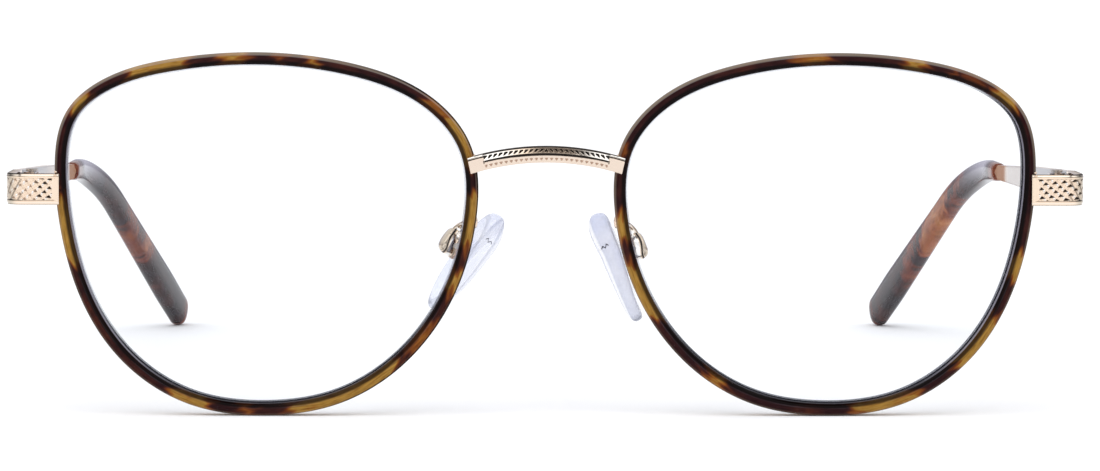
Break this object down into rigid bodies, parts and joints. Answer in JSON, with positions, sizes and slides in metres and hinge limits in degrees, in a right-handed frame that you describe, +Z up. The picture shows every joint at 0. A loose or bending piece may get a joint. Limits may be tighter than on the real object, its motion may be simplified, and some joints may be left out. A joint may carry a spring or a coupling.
{
  "type": "optical spectacles",
  "caption": "Clear-lens spectacles: rounded tortoise rims on a rose gold front, arched bridge, folding temples with tortoise tips, and rocking nose pads.",
  "frame": {"origin": "on the table, under the middle of the box round the open spectacles", "axes": "+Z up, +Y from the front back along the temples, +X towards the wearer's left"},
  "size_m": [0.138, 0.1416, 0.0466],
  "materials": {
    "rose_gold": "polished rose gold plating",
    "tortoise": "gloss acetate, dark brown and amber mottling",
    "clear_lens": "polished, uncoloured",
    "silicone": "clear moulded silicone",
    "steel": "turned"
  },
  "bodies": {
    "front": {"bridge": "rose_gold", "left_rim": "tortoise", "left_eyewire": "rose_gold", "left_lens": "clear_lens", "left_lug": "rose_gold", "left_lock_upper": "rose_gold", "left_lock_lower": "rose_gold", "left_lock_screw": "steel", "left_front_hinge": "rose_gold", "left_hinge_screw": "steel", "left_pad_arm": "rose_gold", "left_pad_box": "rose_gold", "left_pad_screw": "steel", "right_rim": "tortoise", "right_eyewire": "rose_gold", "right_lens": "clear_lens", "right_lug": "rose_gold", "right_lock_upper": "rose_gold", "right_lock_lower": "rose_gold", "right_lock_screw": "steel", "right_front_hinge": "rose_gold", "right_hinge_screw": "steel", "right_pad_arm": "rose_gold", "right_pad_box": "rose_gold", "right_pad_screw": "steel"},
    "left_temple": {"left_temple_hinge": "rose_gold", "left_temple_arm": "rose_gold", "left_temple_tip": "tortoise"},
    "right_temple": {"right_temple_hinge": "rose_gold", "right_temple_arm": "rose_gold", "right_temple_tip": "tortoise"},
    "left_nose_pad": {"left_nose_pad": "silicone", "left_pad_insert": "silicone"},
    "right_nose_pad": {"right_nose_pad": "silicone", "right_pad_insert": "silicone"}
  },
  "joints": [
    {"name": "left_temple_fold", "type": "hinge", "parent": "front", "child": "left_temple", "pos_m": [0.0662, -0.06008, 0.0291], "axis": [0, 0, 1], "range_deg": [0, 84]},
    {"name": "right_temple_fold", "type": "hinge", "parent": "front", "child": "right_temple", "pos_m": [-0.0662, -0.06008, 0.0291], "axis": [0, 0, -1], "range_deg": [0, 79]},
    {"name": "left_pad_rock", "type": "hinge", "parent": "front", "child": "left_nose_pad", "pos_m": [0.0114, -0.06088, 0.0211], "axis": [0.0484, 0.9986, 0.02], "range_deg": [-10, 10]},
    {"name": "right_pad_rock", "type": "hinge", "parent": "front", "child": "right_nose_pad", "pos_m": [-0.0117, -0.06088, 0.0216], "axis": [0.1982, -0.9703, -0.1388], "range_deg": [-10, 10]}
  ]
}
